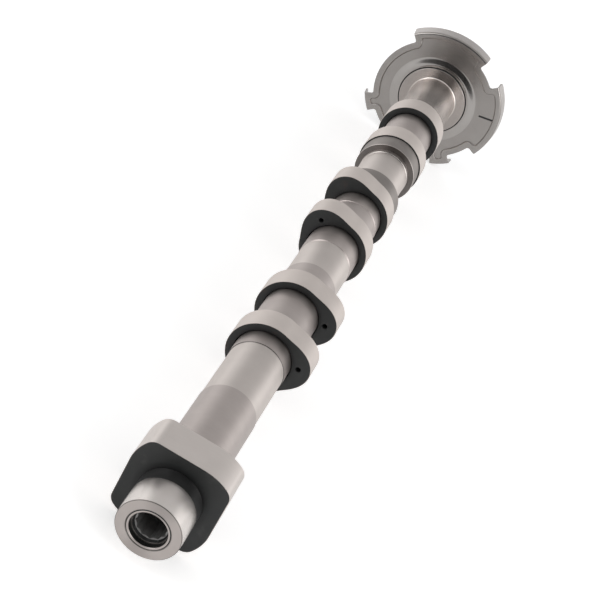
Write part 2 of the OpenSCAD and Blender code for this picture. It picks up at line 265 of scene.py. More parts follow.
def rounded(corner_r, corner_y, size, r_sign, y_sign, face_first=False, steps=3):
    """Small edge radius at a [radius, Y] corner; r_sign and y_sign point from the corner into the metal."""
    centre = (corner_r + r_sign * size, corner_y + y_sign * size)
    points = []
    for i in range(steps + 1):
        t = math.pi / 2 * i / steps
        points.append((centre[0] - r_sign * size * math.sin(t), centre[1] - y_sign * size * math.cos(t)))
    return points if face_first else points[::-1]


# A face's normal against the shaft's axis: it slopes, it is square, or it is flat past any edge.
SLOPED, SQUARE, FLAT = 0.3, 0.9, 0.98
TUBE_R, TUBE_BORE_R, JOURNAL_R = 13.3, 9.3, 13.0
TUBE_FRONT, TUBE_REAR = -424.2, -50.4
JOURNALS = [(-360.7, -323.7), (-247.8, -223.2), (-145.0, -115.5)]
BAND_Y, BAND_HALF, BAND_HEIGHT = -177.9, 1.0, 0.25
# Behind the thrust journal the grinding ran out into a shallow groove: mm before the journal's end.
GROOVE_START, GROOVE_WALL, GROOVE_END, STEP_TOP, GROOVE_DEPTH = 1.3, 1.25, 0.75, 0.45, 0.1
STEP = TUBE_R - JOURNAL_R
tube_profile = [(TUBE_BORE_R, TUBE_FRONT), (TUBE_R, TUBE_FRONT)]
for front, rear in JOURNALS[:2]:
    tube_profile += [(TUBE_R, front), (JOURNAL_R, front + STEP), (JOURNAL_R, rear - STEP), (TUBE_R, rear)]
tube_profile += [(TUBE_R, BAND_Y - BAND_HALF - BAND_HEIGHT), (TUBE_R + BAND_HEIGHT, BAND_Y - BAND_HALF),
                 (TUBE_R + BAND_HEIGHT, BAND_Y + BAND_HALF), (TUBE_R, BAND_Y + BAND_HALF + BAND_HEIGHT)]
front, rear = JOURNALS[2]
tube_profile += [(TUBE_R, front), (JOURNAL_R, front + STEP), (JOURNAL_R, rear - GROOVE_START),
                 (JOURNAL_R - GROOVE_DEPTH, rear - GROOVE_WALL),
                 (JOURNAL_R - GROOVE_DEPTH, rear - GROOVE_END),
                 (TUBE_R, rear - STEP_TOP), (TUBE_R, rear)]
tube_profile += [(TUBE_R, TUBE_REAR), (TUBE_BORE_R, TUBE_REAR)]
tube = turned("tube", tube_profile)


# Painted shade: the relief groove and the forward step at the first journal's rear get the dark relief steel.
def tube_surface(p, n):
    if -GROOVE_START < p.y - JOURNALS[2][1] < 0:
        return 2 if -SQUARE < n.y < -SLOPED else 3
    if n.y < -SLOPED and abs(p.y - JOURNALS[0][1]) < 1:
        return 3
    return 1 if TUBE_BORE_R + 1 < radius(p) < TUBE_R - 0.01 and n.y > -SLOPED else 0


dress(tube, "shaft_tube",
      [drawn_steel, ground_journal_steel, bright_edge_steel, relief_shade_steel], tube_surface)

# --- Valve lobes --------------------------------------------------------------------------
# Six sintered steel lobes, pressed and fused onto the tube in pairs. The sides stay black from
# hardening, the running surface is ground pale, and most have a small index hole by the nose.

# The black skin's grit in mm, and what painted shade leaves of its brightness deep in the corner at the
# shaft.
GRIT_MM, GRIT_DEPTH, CORNER_SHADE_SHARE = 0.5, 0.01, 0.12


def black_steel(name, patch_mm, tint, corner_shade_mm=(0, 0.001)):
    """Black skin: near-black grey, fine grit, a faint heat tint; painted shade darkens it between two radii.
    """
    material = new_material(name)
    place = add_node(material, "TexCoord").outputs["Object"]
    patches = add_node(material, "TexNoise",
                       {"Scale": 1 / (patch_mm * MM), "Detail": 5.0, "Roughness": 0.6}, {"Vector": place})
    grit = add_node(material, "TexNoise", {"Scale": 1 / (GRIT_MM * MM), "Detail": 2.0}, {"Vector": place})
    skin = add_node(material, "ValToRGB",
                    {"stops": [(0.35, linear("#232525")), (0.6, linear("#2b2c2c")), (0.78, linear(tint))]},
                    {"Fac": patches})
    # Painted shade: darkest inside the first radius, fading out by the second.
    corner = add_node(material, "MapRange",
                      {"From Min": corner_shade_mm[0] * MM, "From Max": corner_shade_mm[1] * MM, "To Min": CORNER_SHADE_SHARE},
                      {"Value": across_shaft(material, place)[1]})
    tone = add_node(material, "VectorMath", {"operation": "SCALE"}, {0: skin, "Scale": corner})
    rough = add_node(material, "MapRange", {"To Min": 0.42, "To Max": 0.62}, {"Value": patches})
    close_material(material, tone, rough, grit, GRIT_DEPTH, metallic=0.0)
    return material


# Hardened sintered steel: matt black with a brown heat tint; painted shade makes it blackest in the corner at
# the tube.
lobe_black = black_steel("hardened_black_lobe", 9, "#3b322f", (12.9, 15.8))
# Ground cam surface: pale steel with fine lines round the lobe, slightly satin.
ground_cam_steel = steel("ground_cam_steel", ("#d4ccc7", "#dad2cd"), (0.6, 0.63), 0.4, 0.0008, 9, stretch=0.6)

LOBE_SIDES = 240
BASE_R, LIFT, LIFT_HALF, LOBE_EDGE = 17.2, 5.35, 58.5, 0.18
BORE_RELIEF, BORE_RELIEF_DEPTH = 0.5, 1.4
REST_TURN, FIRING = 20.9, 120


def shape_ring(share_at, chosen, fold=1, step=360 / LOBE_SIDES, mirrored=True):
    """Scales the chosen vertices about the axis, angle by angle, by share_at(angle)."""
    mesh = bpy.context.object.data
    shape = bmesh.from_edit_mesh(mesh)
    groups = {}
    for vertex in shape.verts:
        p = vertex.co / MM
        if chosen(p):
            angle = math.degrees(math.atan2(p.z, p.x)) % (360 / fold)
            if mirrored and angle > 180 / fold:
                angle = 360 / fold - angle
            groups.setdefault(round(angle / step), []).append(vertex.index)
    for key, members in groups.items():
        factor = share_at(key * step)
        if abs(factor - 1) < 1e-6:
            continue
        bpy.ops.mesh.select_all(action="DESELECT")
        shape = bmesh.from_edit_mesh(mesh)
        shape.verts.ensure_lookup_table()
        for index in members:
            shape.verts[index].select = True
        shape.select_flush_mode()
        bmesh.update_edit_mesh(mesh)
        bpy.ops.transform.resize(value=(factor, 1, factor), center_override=(0, 0, 0))


def outer_side(p):
    return radius(p) > TUBE_R + 1


def lobe_share(degrees):
    """The cosine-squared lift law, as a share of the base circle."""
    if degrees >= LIFT_HALF:
        return 1
    return 1 + LIFT * math.cos(math.pi / 2 * degrees / LIFT_HALF) ** 2 / BASE_R


lobe_profile = ([(TUBE_R, BORE_RELIEF_DEPTH - LOBE_HALF), (TUBE_R + BORE_RELIEF, -LOBE_HALF)]
                + rounded(BASE_R, -LOBE_HALF, LOBE_EDGE, -1, 1, True)
                + rounded(BASE_R, LOBE_HALF, LOBE_EDGE, -1, -1)
                + [(TUBE_R + BORE_RELIEF, LOBE_HALF), (TUBE_R, LOBE_HALF - BORE_RELIEF_DEPTH)])
lobe_pattern = turned("lobe_pattern", lobe_profile, LOBE_SIDES)
bpy.ops.object.mode_set(mode="EDIT")
shape_ring(lobe_share, outer_side)
finish_edit()

HOLE_R, HOLE_REACH, HOLE_DEPTH = 1.3, 16.8, 4


def cut_away(piece, tool):
    """Takes the tool's form out of the piece and removes the tool."""
    bpy.context.view_layer.objects.active = piece
    cut = piece.modifiers.new("cut", "BOOLEAN")
    cut.operation, cut.object, cut.solver = "DIFFERENCE", tool, "EXACT"
    bpy.ops.object.modifier_apply(modifier=cut.name)
    bpy.data.objects.remove(tool)


def pierce(piece, place, r, depth, sides=28):
    """Drills a blind hole of the given depth along the shaft into a side face."""
    start_clean()
    bpy.ops.mesh.primitive_cylinder_add(vertices=sides, radius=r * MM, depth=2 * depth * MM,
                                        location=Vector(place) * MM, rotation=(math.pi / 2, 0, 0))
    cut_away(piece, bpy.context.object)


def lobe_surface(p, n):
    return 1 if abs(n.y) < FLAT and radius(p) > TUBE_R + 2 else 0


for index, cylinder in enumerate(CYLINDERS):
    nose = math.radians(REST_TURN + index * FIRING)
    hole = Vector((HOLE_REACH * math.cos(nose), 0, HOLE_REACH * math.sin(nose)))
    for word, side in (("front", -1), ("rear", 1)):
        lobe = bpy.data.objects.new(f"lobe_{index + 1}_{word}_piece", lobe_pattern.data.copy())
        bpy.context.scene.collection.objects.link(lobe)
        if (index, side) != (1, 1):  # the photo shows no hole in this one
            pierce(lobe, (HOLE_REACH, -LOBE_HALF, 0), HOLE_R, HOLE_DEPTH)
        lobe.data.transform(Matrix.Translation((0, (cylinder + side * LOBE_OFFSET) * MM, 0))
                            @ Matrix.Rotation(-nose, 4, "Y"))
        dress(lobe, f"lobe_{index + 1}_{word}", [lobe_black, ground_cam_steel],
              lambda p, n: 0 if (Vector((p.x, 0, p.z)) - hole).length < HOLE_R + 0.1 else lobe_surface(p, n))
bpy.data.objects.remove(lobe_pattern)

# --- Pump cam -----------------------------------------------------------------------------
# The rounded-square cam drives a fuel pump: each corner has a tight flank and a long ramp.
# Its end faces are black from hardening, the four flats and corners are ground.
PUMP_SIDES = 360
PUMP_FLAT, PUMP_TIGHT, PUMP_RAMP, PUMP_RAMP_START = 20.65, 5.5, 21.8, 6.8
PUMP_FRONT, PUMP_LENGTH, PUMP_TURN = -424.2, 16.7, 75
tight_y = PUMP_FLAT - PUMP_RAMP + math.sqrt((PUMP_RAMP - PUMP_TIGHT) ** 2
                                            - (PUMP_FLAT - PUMP_TIGHT - PUMP_RAMP_START) ** 2)
TIGHT_AT = Vector((PUMP_FLAT - PUMP_TIGHT, tight_y))
RAMP_AT = Vector((PUMP_RAMP_START, PUMP_FLAT - PUMP_RAMP))
meet = (TIGHT_AT - RAMP_AT).normalized() * PUMP_RAMP + RAMP_AT


def reach_on_circle(direction, centre, r):
    along = direction.dot(centre)
    return along + math.sqrt(max(r * r - centre.length_squared + along * along, 0))


def pump_radius(degrees):
    """Distance from the axis to the pump cam's outline at an angle from the middle of a flat."""
    t = math.radians(degrees)
    direction = Vector((math.cos(t), math.sin(t)))
    if t <= math.atan2(tight_y, PUMP_FLAT):
        return PUMP_FLAT / math.cos(t)
    if t <= math.atan2(meet.y, meet.x):
        return reach_on_circle(direction, TIGHT_AT, PUMP_TIGHT)
    if t <= math.atan2(PUMP_FLAT, PUMP_RAMP_START):
        return reach_on_circle(direction, RAMP_AT, PUMP_RAMP)
    return PUMP_FLAT / math.sin(t)


PUMP_REAR = PUMP_FRONT + PUMP_LENGTH
pump = turned("pump_cam_piece",
              [(TUBE_R, PUMP_FRONT)] + rounded(PUMP_FLAT, PUMP_FRONT, LOBE_EDGE, -1, 1, True)
              + rounded(PUMP_FLAT, PUMP_REAR, LOBE_EDGE, -1, -1) + [(TUBE_R, PUMP_REAR)], PUMP_SIDES)
bpy.ops.object.mode_set(mode="EDIT")
shape_ring(lambda t: pump_radius(t) / PUMP_FLAT, outer_side, fold=4, step=360 / PUMP_SIDES,
           mirrored=False)
finish_edit()
pump.data.transform(Matrix.Rotation(-math.radians(REST_TURN + PUMP_TURN), 4, "Y"))
# Hardened black like the lobes, with larger and greyer patches of heat tint, and painted shade near the tube.
pump_black = black_steel("hardened_black_pump_cam", 14, "#474645", (12.9, 16.5))
# Ground track of the pump's follower: pale steel, shinier than the lobes, lines run round it.
ground_pump_steel = steel("ground_pump_cam_steel", ("#d8d0cb", "#dfd7d2"), (0.28, 0.31), 0.5, 0.0006, 12)
dress(pump, "pump_cam", [pump_black, ground_pump_steel], lobe_surface)

# --- Front end piece ----------------------------------------------------------------------
# Turned steel, pressed into the tube's bore by a hollow shank. The spigot is ground bright, the
# neck behind it keeps the black skin, and the bore in front takes the drive plug.
FRONT = -446.0
SPIGOT_R, SPIGOT_LENGTH, NECK_R, NECK_LENGTH = 13.65, 15.0, 13.5, 6.8
PLUG_BORE_R, PLUG_LENGTH, SHANK_BORE_R, SHANK_LENGTH = 9.1, 20.0, 6.7, 24.0
BORE_BREAK, BORE_BREAK_MIDDLE, SPIGOT_EDGE, NECK_STEP, NECK_EDGE = 0.4, 0.12, 0.3, 0.3, 0.02
# The ground surface ends in a tiny step, 1.3 to 1.15 mm before the neck.
GRIND_END, GRIND_STEP, GRIND_DEPTH = 1.3, 1.15, 0.06
neck_front = FRONT + SPIGOT_LENGTH
shoulder = neck_front + NECK_LENGTH
front_piece = turned("front_spigot_piece",
                     [(SHANK_BORE_R, FRONT + PLUG_LENGTH), (PLUG_BORE_R, FRONT + PLUG_LENGTH),
                      (PLUG_BORE_R, FRONT + BORE_BREAK),
                      (PLUG_BORE_R + BORE_BREAK_MIDDLE, FRONT + BORE_BREAK_MIDDLE),
                      (PLUG_BORE_R + BORE_BREAK, FRONT)]
                     + rounded(SPIGOT_R, FRONT, SPIGOT_EDGE, -1, 1, True)
                     + [(SPIGOT_R, neck_front - GRIND_END), (SPIGOT_R - GRIND_DEPTH, neck_front - GRIND_STEP),
                        (SPIGOT_R - GRIND_DEPTH, neck_front), (NECK_R, neck_front + NECK_STEP),
                        (NECK_R, shoulder - NECK_EDGE), (NECK_R - NECK_EDGE, shoulder),
                        (TUBE_BORE_R, shoulder), (TUBE_BORE_R, shoulder + SHANK_LENGTH),
                        (SHANK_BORE_R, shoulder + SHANK_LENGTH)])
# Finely ground spigot: the brightest steel here, its shine drawn out into streaks along it.
spigot_steel = steel("ground_spigot_steel", ("#e6dfda", "#ece5e1"), (0.18, 0.2), 0.3, 0.0002, 8, stretch=1.0)
# Turned end face: rings of the facing tool, a dull even grey.
turned_face_steel = steel("turned_face_steel", ("#b9b1ad", "#c0b8b4"), (0.36, 0.4), 0.3, 0.0008, 8, "face")
# Turned neck: blackened like the cam, but its turning marks leave a faint sheen.
neck_black = steel("turned_black_neck", ("#3b3b3b", "#454545"), (0.45, 0.5), 0.5, 0.001, 6)
# Broken edges round the face: the same steel, left dull by the deburring; their darker grey is painted shade,
# a thin dark line.
dull_edge_painted_shade_steel = steel("dull_edge_painted_shade_steel", ("#8a8581", "#97928e"), (0.5, 0.55), 0.5, 0.001, 5)


def front_surface(p, n):
    if p.y > neck_front:
        return 1
    if p.y < FRONT + BORE_BREAK and abs(n.y) < FLAT:
        return 3
    return 2 if abs(n.y) > SQUARE else 0


dress(front_piece, "front_end_piece",
      [spigot_steel, neck_black, turned_face_steel, dull_edge_painted_shade_steel], front_surface)

# --- Drive plug ---------------------------------------------------------------------------
# Turned steel plug pressed into the front bore. A bright thin ring shows at its mouth, then a
# stepped black funnel leads to a broached twelve-point socket that a key turns or holds.
MOUTH_R, MOUTH_DEPTH, MOUTH_EDGE, MOUTH_FLARE = 8.0, 2.3, 0.2, 0.15
STEP_R, SOCKET_EDGE, SOCKET_DEPTH = 7.5, 3.7, 11.0
LEDGE_TAPER, LEDGE_DEPTH, PLUG_FIT, PLUG_EDGE = 0.1, 0.25, 0.02, 0.3
# The socket: its lip is two short slopes, and its floor is dished a little and closed on the axis.
POINT_R, POINTS, ROOT_SHARE, SOCKET_SIDES, CORE_R, DISH = 6.7, 12, 0.9, 192, 0.4, 0.1
LIP, LIP_LENGTH, INNER_LIP, INNER_LIP_DEPTH = 0.15, 0.5, 0.06, 0.12
socket_front = FRONT + SOCKET_EDGE
floor_y = socket_front + SOCKET_DEPTH
plug = turned("drive_plug_piece",
              [(CORE_R, FRONT + PLUG_LENGTH), (CORE_R, floor_y), (POINT_R, floor_y - DISH),
               (POINT_R, socket_front + LIP_LENGTH), (POINT_R + INNER_LIP, socket_front + INNER_LIP_DEPTH),
               (POINT_R + LIP, socket_front), (STEP_R - LEDGE_TAPER, FRONT + MOUTH_DEPTH + LEDGE_DEPTH),
               (STEP_R, FRONT + MOUTH_DEPTH), (MOUTH_R, FRONT + MOUTH_DEPTH), (MOUTH_R, FRONT + MOUTH_EDGE),
               (MOUTH_R + MOUTH_FLARE, FRONT), (PLUG_BORE_R - PLUG_EDGE, FRONT),
               (PLUG_BORE_R - PLUG_FIT, FRONT + PLUG_EDGE), (PLUG_BORE_R - PLUG_FIT, FRONT + PLUG_LENGTH)],
              SOCKET_SIDES)
bpy.ops.object.mode_set(mode="EDIT")
pick(lambda p, n: radius(p) < CORE_R + 0.1)
bpy.ops.transform.resize(value=(0, 1, 0), center_override=(0, 0, 0))
bpy.ops.mesh.remove_doubles(threshold=MERGE_M)
bpy.ops.mesh.select_all(action="SELECT")
bpy.ops.mesh.delete_loose()


def socket_share(degrees):
    """Star outline of the socket: straight lines between its points and its roots."""
    half = math.pi / POINTS
    t = math.radians(degrees) % (2 * half)
    t = min(t, 2 * half - t)
    edge = Vector((ROOT_SHARE * math.cos(half) - 1, ROOT_SHARE * math.sin(half)))
    return edge.y / (math.cos(t) * edge.y - math.sin(t) * edge.x)


def socket_wall(p):
    return socket_front + 0.05 < p.y < floor_y + 0.05 and 5 < radius(p) < POINT_R + 0.1


shape_ring(socket_share, socket_wall, fold=POINTS, step=360 / SOCKET_SIDES, mirrored=False)
finish_edit()
plug.data.transform(Matrix.Rotation(-math.radians(REST_TURN), 4, "Y"))
# Black oxide on the plug: as dark as the lobes, and painted shade makes it deeper still inside the funnel.
plug_black = black_steel("black_oxide_plug", 5, "#2b2a29", (8.1, 9))
# Broached socket walls: the oxide is worn thin there, so a grey sheen comes through.
socket_steel = steel("broached_socket_steel", ("#7f7e7d", "#939291"), (0.3, 0.36), 0.5, 0.002, 3, "grain",
                     metallic=0.5)


# Painted shade: the ledge inside the funnel gets the dark relief steel.
def plug_surface(p, n):
    if p.y < FRONT + PLUG_EDGE:
        return 2 if radius(p) < PLUG_BORE_R - PLUG_EDGE else 0
    if p.y < FRONT + MOUTH_DEPTH + LEDGE_DEPTH and radius(p) < MOUTH_R - 0.05:
        return 3
    return 1 if socket_front < p.y < floor_y + DISH and radius(p) < POINT_R + LIP else 0


dress(plug, "drive_plug", [plug_black, socket_steel, turned_face_steel, relief_shade_steel],
      plug_surface)

# --- Thrust collars -----------------------------------------------------------------------
# Two turned steel collars are pressed on at both sides of the third journal and take its end
# thrust. They stay as turned, darker than the lobes' bands, and their broken edges catch the light.
COLLAR_R, COLLAR_EDGE = 16.35, 0.28
COLLARS = {"front": (-156.4, -145.0), "rear": (-113.5, -102.6)}
# Faced side of a collar: rings of the tool, a dark even grey.
collar_face_steel = steel("turned_collar_face", ("#767270", "#807b78"), (0.34, 0.38), 0.4, 0.0008, 6, "face")
# Its turned outside: coarser lines, a broad dull shine.
collar_steel = steel("turned_collar_steel", ("#938d8a", "#a19b97"), (0.42, 0.48), 0.9, 0.004, 7)
for word, (y_from, y_to) in COLLARS.items():
    collar = turned(f"{word}_thrust_collar_piece",
                    [(TUBE_R, y_from)] + rounded(COLLAR_R, y_from, COLLAR_EDGE, -1, 1, True, 5)
                    + rounded(COLLAR_R, y_to, COLLAR_EDGE, -1, -1, False, 5) + [(TUBE_R, y_to)])
    dress(collar, f"{word}_thrust_collar",
          [collar_steel, collar_face_steel, bright_edge_steel],
          lambda p, n: 1 if abs(n.y) > FLAT else (2 if abs(n.y) > SLOPED else 0))

# --- Rear hub -----------------------------------------------------------------------------
# One turned and ground piece, pressed into the tube's rear end: the rear journal, a fillet, the
# flange in front of the wheel, the wheel's seat, and a centring bore with the bolt's hole.
HUB_R, HUB_EDGE, HUB_FILLET, FLANGE_R, FLANGE_EDGE, SEAT_R = 13.7, 0.2, 0.9, 19.7, 0.4, 20.3
SEAT_EDGE, SEAT_EDGE_MIDDLE = 0.5, 0.15
FLANGE_FRONT, PANEL_FRONT, LAND_FRONT, GROOVE_BOTTOM = -8.8, -6.9, -8.0, -7.4
CENTRING_R, CENTRING_DEPTH, THREAD_R, THREAD_LENGTH, OIL_R = 9.0, 8.0, 6.25, 30.0, 3.0
fillet = [(HUB_R + HUB_FILLET - HUB_FILLET * math.cos(math.radians(15 * i)),
           FLANGE_FRONT - HUB_FILLET + HUB_FILLET * math.sin(math.radians(15 * i))) for i in range(7)]
shank_front = TUBE_REAR - SHANK_LENGTH
hub = turned("rear_hub_piece",
             [(OIL_R, shank_front), (TUBE_BORE_R, shank_front), (TUBE_BORE_R, TUBE_REAR),
              (HUB_R - HUB_EDGE, TUBE_REAR), (HUB_R, TUBE_REAR + HUB_EDGE)] + fillet
             + rounded(FLANGE_R, FLANGE_FRONT, FLANGE_EDGE, -1, 1, True)
             + [(FLANGE_R, GROOVE_BOTTOM), (SEAT_R, GROOVE_BOTTOM), (SEAT_R, -SEAT_EDGE),
                (SEAT_R - SEAT_EDGE_MIDDLE, -SEAT_EDGE_MIDDLE), (SEAT_R - SEAT_EDGE, 0), (CENTRING_R, 0),
                (CENTRING_R, -CENTRING_DEPTH), (THREAD_R, -CENTRING_DEPTH),
                (THREAD_R, -CENTRING_DEPTH - THREAD_LENGTH), (OIL_R, -CENTRING_DEPTH - THREAD_LENGTH)])
PIN_R, PIN_SEAT_R, PIN_DEPTH, PIN_PROUD, PIN_REACH = 2.0, 2.5, 7.0, 3.0, 14.35
pin_turn = math.radians(REST_TURN + 90)
pin_at = (PIN_REACH * math.cos(pin_turn), PIN_REACH * math.sin(pin_turn))
pierce(hub, (pin_at[0], 0, pin_at[1]), PIN_SEAT_R, PIN_DEPTH, sides=40)
# Ground rear journal: as bright as the spigot, with the same long streaks of light.
rear_journal_steel = steel("ground_rear_journal_steel", ("#e8e0db", "#eee6e1"), (0.2, 0.22), 0.35, 0.0003, 9,
                           stretch=1.0)
# Finely faced flange: rings of the tool turn its shine into light and dark sectors.
flange_steel = steel("turned_flange_steel", ("#aea8a4", "#b5aeaa"), (0.24, 0.27), 0.4, 0.0004, 6, "face", 1.0)
# The narrow groove round the flange is painted near-black: painted shade in the groove.
groove_shade = black_steel("painted_groove_shade", 4, "#2e2d2c")


def hub_surface(p, n):
    if FLANGE_FRONT + FLANGE_EDGE < p.y < GROOVE_BOTTOM + 0.05 and radius(p) > FLANGE_R - 0.1:
        return 2
    return 1 if abs(n.y) > SQUARE or radius(p) > FLANGE_R - 0.6 or radius(p) < HUB_R - 1 else 0


dress(hub, "rear_hub", [rear_journal_steel, flange_steel, groove_shade], hub_surface)

# --- Locating pin -------------------------------------------------------------------------
# Hardened stepped dowel pressed into the hub's rear face; it sets the angle of the part that is
# bolted on behind.
PIN_SIDES, PIN_EDGE = 48, 0.45
start_clean()
bpy.ops.mesh.primitive_cylinder_add(vertices=PIN_SIDES, radius=PIN_SEAT_R * MM, depth=PIN_DEPTH * MM,
                                    location=(pin_at[0] * MM, -PIN_DEPTH / 2 * MM, pin_at[1] * MM),
                                    rotation=(math.pi / 2, 0, 0))
pin = bpy.context.object
pin.name = pin.data.name = "locating_pin_piece"
bpy.ops.object.transform_apply()
bpy.ops.object.mode_set(mode="EDIT")
pick(lambda p, n: n.y > SQUARE, "FACE")
bpy.ops.mesh.inset(thickness=(PIN_SEAT_R - PIN_R) * MM)
bpy.ops.mesh.extrude_region_move(TRANSFORM_OT_translate={"value": (0, PIN_PROUD * MM, 0)})
pick(lambda p, n: p.y > PIN_PROUD - 0.01)
bpy.ops.mesh.bevel(offset=PIN_EDGE * MM, segments=3, affect="EDGES")
finish_edit()
# Ground dowel: hard bright steel with fine lines round it.
dowel_steel = steel("ground_dowel_steel", ("#a8a19d", "#b8b1ad"), (0.2, 0.28), 0.4, 0.0006, 4)
dress(pin, "locating_pin", [dowel_steel])

# --- Sensor wheel -------------------------------------------------------------------------
# Stamped from 1.4 mm sheet: four sectors stand out with their rims folded back, a pressed panel
# follows the outline, a raised land rings the hub, and one engraved line marks the timing.
WHEEL_R, GAP_R, SHEET, RIM_DEPTH, RIM_WALL, FLARE = 41.0, 35.4, 1.4, 7.2, 1.1, 0.6
WHEEL_FRONT, FOLD_R, PANEL_INSET, SHEARED_EDGE = -7.6, 1.6, 3.2, 0.22
NOTCH_FILLET, PANEL_FILLET, PANEL_CORNER, TAB_CORNER = 1.6, 3.1, 2.2, 1.7
# Sectors in degrees from the wheel's own zero; one that spans less than TAB_SPAN is a tab.
SECTORS, TAB_SPAN = [(-79.8, -63.5), (-39.5, 27.6), (50.0, 117.5), (191.2, 206.8)], 20
# Mesh spacing: mm from a sector's end, degrees along its rim, steps in a fillet.
END_STEPS = [0, 0.12, 0.35, 0.7, 1.2, 2.0]
COLUMN_DEGREES, FILLET_STEPS, REAR_CORNER = 2.6, 8, 1.2


def polar(r, degrees):
    return Vector((r * math.cos(math.radians(degrees)), r * math.sin(math.radians(degrees))))


def arc(centre, r, start, end, steps):
    return [centre + polar(r, start + (end - start) * i / steps) for i in range(steps + 1)]


def wheel_loop(outer_r, inset, fillet, ease):
    """Outline of the wheel drawn in by inset: fillet, sector, fillet, then the gap to the next one."""
    gap_r, points, rims = GAP_R - inset, [], []
    foot = math.degrees(math.asin(fillet / (gap_r + fillet)))
    narrow = math.degrees(math.asin(inset / WHEEL_R))
    for index, (start, end) in enumerate(SECTORS):
        following = SECTORS[(index + 1) % len(SECTORS)][0] + (360 if index + 1 == len(SECTORS) else 0)
        across = max(3, round((end - start) / COLUMN_DEGREES))
        gap_columns = max(4, round((following - end) / COLUMN_DEGREES))
        corner = (TAB_CORNER if end - start < TAB_SPAN else PANEL_CORNER) - ease
        start, end, following = start + narrow, end - narrow, following + narrow
        points += arc(polar(gap_r + fillet, start - foot), fillet, start - foot + 180, start + 90,
                      FILLET_STEPS)
        rim_start = len(points)
        if inset:
            shoulder = math.degrees(math.asin(corner / (outer_r - corner)))
            turns = len(END_STEPS) - 1
            points += arc(polar(outer_r - corner, start + shoulder), corner, start - 90, start + shoulder,
                          turns)
            points += [polar(outer_r, start + shoulder + (end - start - 2 * shoulder) * i / across)
                       for i in range(1, across)]
            points += arc(polar(outer_r - corner, end - shoulder), corner, end - shoulder, end + 90, turns)
        else:
            ends = [math.degrees(step / outer_r) for step in END_STEPS]
            points += [polar(outer_r, start + a) for a in ends]
            points += [polar(outer_r, start + ends[-1] + (end - start - 2 * ends[-1]) * i / across)
                       for i in range(1, across)]
            points += [polar(outer_r, end - a) for a in ends[::-1]]
        rims.append((rim_start, len(points) - 1))
        points += arc(polar(gap_r + fillet, end + foot), fillet, end - 90, end + foot - 180, FILLET_STEPS)
        gap_start, gap_end = end + foot, following - foot
        points += [polar(gap_r, gap_start + (gap_end - gap_start) * i / gap_columns)
                   for i in range(1, gap_columns)]
    return points, rims


def unwrapped(points):
    """Angles of the points, running on without a jump at 180 degrees."""
    angles = [math.degrees(math.atan2(q.y, q.x)) for q in points]
    for i in range(1, len(angles)):
        while angles[i] < angles[i - 1] - 180:
            angles[i] += 360
        while angles[i] > angles[i - 1] + 180:
            angles[i] -= 360
    return angles


FOLD_FACE_R = WHEEL_R - FOLD_R
outline, rims = wheel_loop(FOLD_FACE_R, 0, NOTCH_FILLET, 0)


def contour(more):
    """The panel's outline, drawn in by some more than the band's width."""
    return wheel_loop(WHEEL_R - PANEL_INSET - more, PANEL_INSET + more, PANEL_FILLET + more, more)[0]


def eased(t):
    return t * t * (3 - 2 * t)


start_clean()
bpy.ops.mesh.primitive_circle_add(vertices=len(outline), radius=WHEEL_R * MM)
wheel = bpy.context.object
wheel.name = wheel.data.name = "sensor_wheel_piece"
edit_all()


def place_ring(points, y, order=None):
    """Lays the selected ring of vertices on the given points and returns its numbers in order."""
    shape = bmesh.from_edit_mesh(wheel.data)
    shape.verts.ensure_lookup_table()
    order = order or [v.index for v in shape.verts if v.select]
    for number, q in zip(order, points):
        height = y[order.index(number)] if isinstance(y, list) else y
        shape.verts[number].co = Vector((q.x, height, q.y)) * MM
    bmesh.update_edit_mesh(wheel.data)
    return order


def extrude_ring(order, points, y):
    """Extrudes the selected edges in place, then lays the new ring on the given points."""
    bpy.ops.mesh.extrude_region_move(TRANSFORM_OT_translate={"value": (0, 0, 0)})
    shape = bmesh.from_edit_mesh(wheel.data)
    shape.verts.ensure_lookup_table()
    fresh = {v.index for v in shape.verts if v.select}
    partner = {}
    for number in fresh:
        for edge in shape.verts[number].link_edges:
            other = edge.other_vert(shape.verts[number]).index
            if other not in fresh:
                partner[other] = number
    return place_ring(points, y, [partner[n] for n in order])


def select_run(members):
    """Selects the edges between neighbouring vertices of a run."""
    bpy.ops.mesh.select_all(action="DESELECT")
    bpy.ops.mesh.select_mode(type="EDGE")
    shape = bmesh.from_edit_mesh(wheel.data)
    places = {number: i for i, number in enumerate(members)}
    for edge in shape.edges:
        a, b = (places.get(v.index) for v in edge.verts)
        edge.select = a is not None and b is not None and abs(a - b) in (1, len(members) - 1)
    shape.select_flush_mode()
    bmesh.update_edit_mesh(wheel.data)


# The pressed step from the panel up to the band, then the flat band, then each sector's rim.
STEP_WIDTH, STEP_POINTS = 0.75, 6
order = place_ring(contour(STEP_WIDTH), PANEL_FRONT)
for i in range(1, STEP_POINTS + 1):
    t = i / STEP_POINTS
    order = extrude_ring(order, contour(STEP_WIDTH * (1 - t)),
                         PANEL_FRONT + (WHEEL_FRONT - PANEL_FRONT) * eased(t))
outer_order = extrude_ring(order, outline, WHEEL_FRONT)

for first, last in rims:
    members = outer_order[first:last + 1]
    angles = unwrapped(outline[first:last + 1])
    select_run(members)
    run = members
    for t in (15, 30, 45, 60, 75, 90):
        r = FOLD_FACE_R + FOLD_R * math.sin(math.radians(t))
        y = WHEEL_FRONT + FOLD_R * (1 - math.cos(math.radians(t)))
        run = extrude_ring(run, [polar(r, a) for a in angles], y)
    for share in (0.55, 1.0):
        depths = []
        for a in angles:
            inside = min(a - angles[0], angles[-1] - a) * math.radians(1) * WHEEL_R
            cut = REAR_CORNER - math.sqrt(max(REAR_CORNER ** 2 - max(REAR_CORNER - inside, 0) ** 2, 0))
            reach = RIM_DEPTH - FOLD_R - (cut if share == 1 else 0)
            depths.append(WHEEL_FRONT + FOLD_R + reach * share)
        r = WHEEL_R + FLARE * share
        run = extrude_ring(run, [polar(r, a) for a in angles], depths)

